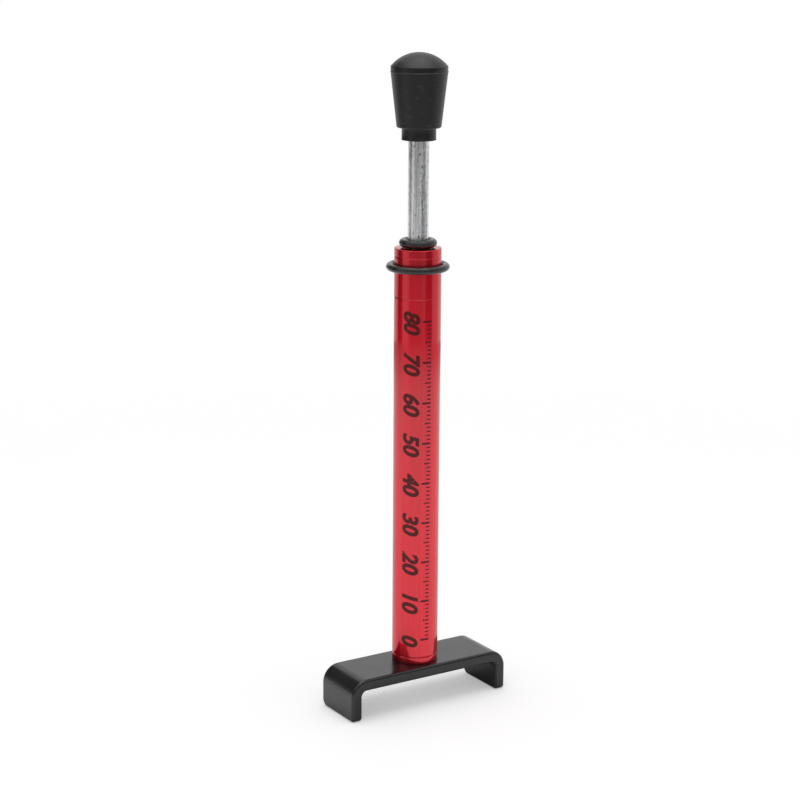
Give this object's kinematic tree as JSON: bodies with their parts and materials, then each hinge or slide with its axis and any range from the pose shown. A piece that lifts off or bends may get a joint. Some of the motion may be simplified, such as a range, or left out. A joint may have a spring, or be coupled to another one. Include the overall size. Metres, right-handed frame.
{
  "type": "belt tension gauge",
  "caption": "Plunger-type belt tension gauge: a sprung rod and knob in a barrel on a U-shaped belt cradle, with sliding O-ring markers.",
  "frame": {"origin": "on the barrel's axis, level with the underside of the cradle's feet", "axes": "+Z along the barrel towards the knob, X along the cradle's length, -Y on the side of the printed scale, which is turned about 32 degrees towards -X"},
  "size_m": [0.045, 0.0154, 0.16],
  "materials": {
    "black_paint": "satin black paint on steel sheet",
    "red_anodising": "glossy red anodising",
    "zinc_plate": "zinc plated steel with lengthwise streaks",
    "spring_steel": "plain spring steel",
    "brass": "turned",
    "acetal": "turned, off-white",
    "black_plastic": "moulded, satin",
    "rubber": "smooth moulded rubber"
  },
  "bodies": {
    "body": {"belt_cradle": "black_paint", "cradle_screw": "zinc_plate", "bottom_plug": "red_anodising", "barrel": "red_anodising", "calibration_screw": "brass", "spring": "spring_steel", "barrel_cap": "red_anodising", "guide_bush": "brass"},
    "follower": {"spring_follower": "acetal"},
    "plunger": {"plunger_rod": "zinc_plate", "retaining_clip": "spring_steel", "knob": "black_plastic", "knob_insert": "brass"},
    "force_ring": {"force_o_ring": "rubber"},
    "deflection_ring": {"deflection_o_ring": "rubber"}
  },
  "joints": [
    {"name": "plunger_slide", "type": "slide", "parent": "body", "child": "follower", "axis": [0, 0, 1], "range_m": [-0.02, 0], "stiffness_N_per_m": 2000, "springref_m": 0.002, "deforming": ["spring"]},
    {"name": "plunger_spin", "type": "hinge", "parent": "follower", "child": "plunger", "pos_m": [0, 0, 0.0965], "axis": [0, 0, 1], "continuous": true},
    {"name": "force_ring_slide", "type": "slide", "parent": "plunger", "child": "force_ring", "axis": [0, 0, 1], "range_m": [0, 0.02]},
    {"name": "deflection_ring_slide", "type": "slide", "parent": "body", "child": "deflection_ring", "axis": [0, 0, 1], "range_m": [-0.0975, 0.0035]}
  ],
  "couplings": [
    {"joint": "force_ring_slide", "follows": "plunger_slide", "ratio": -1}
  ]
}
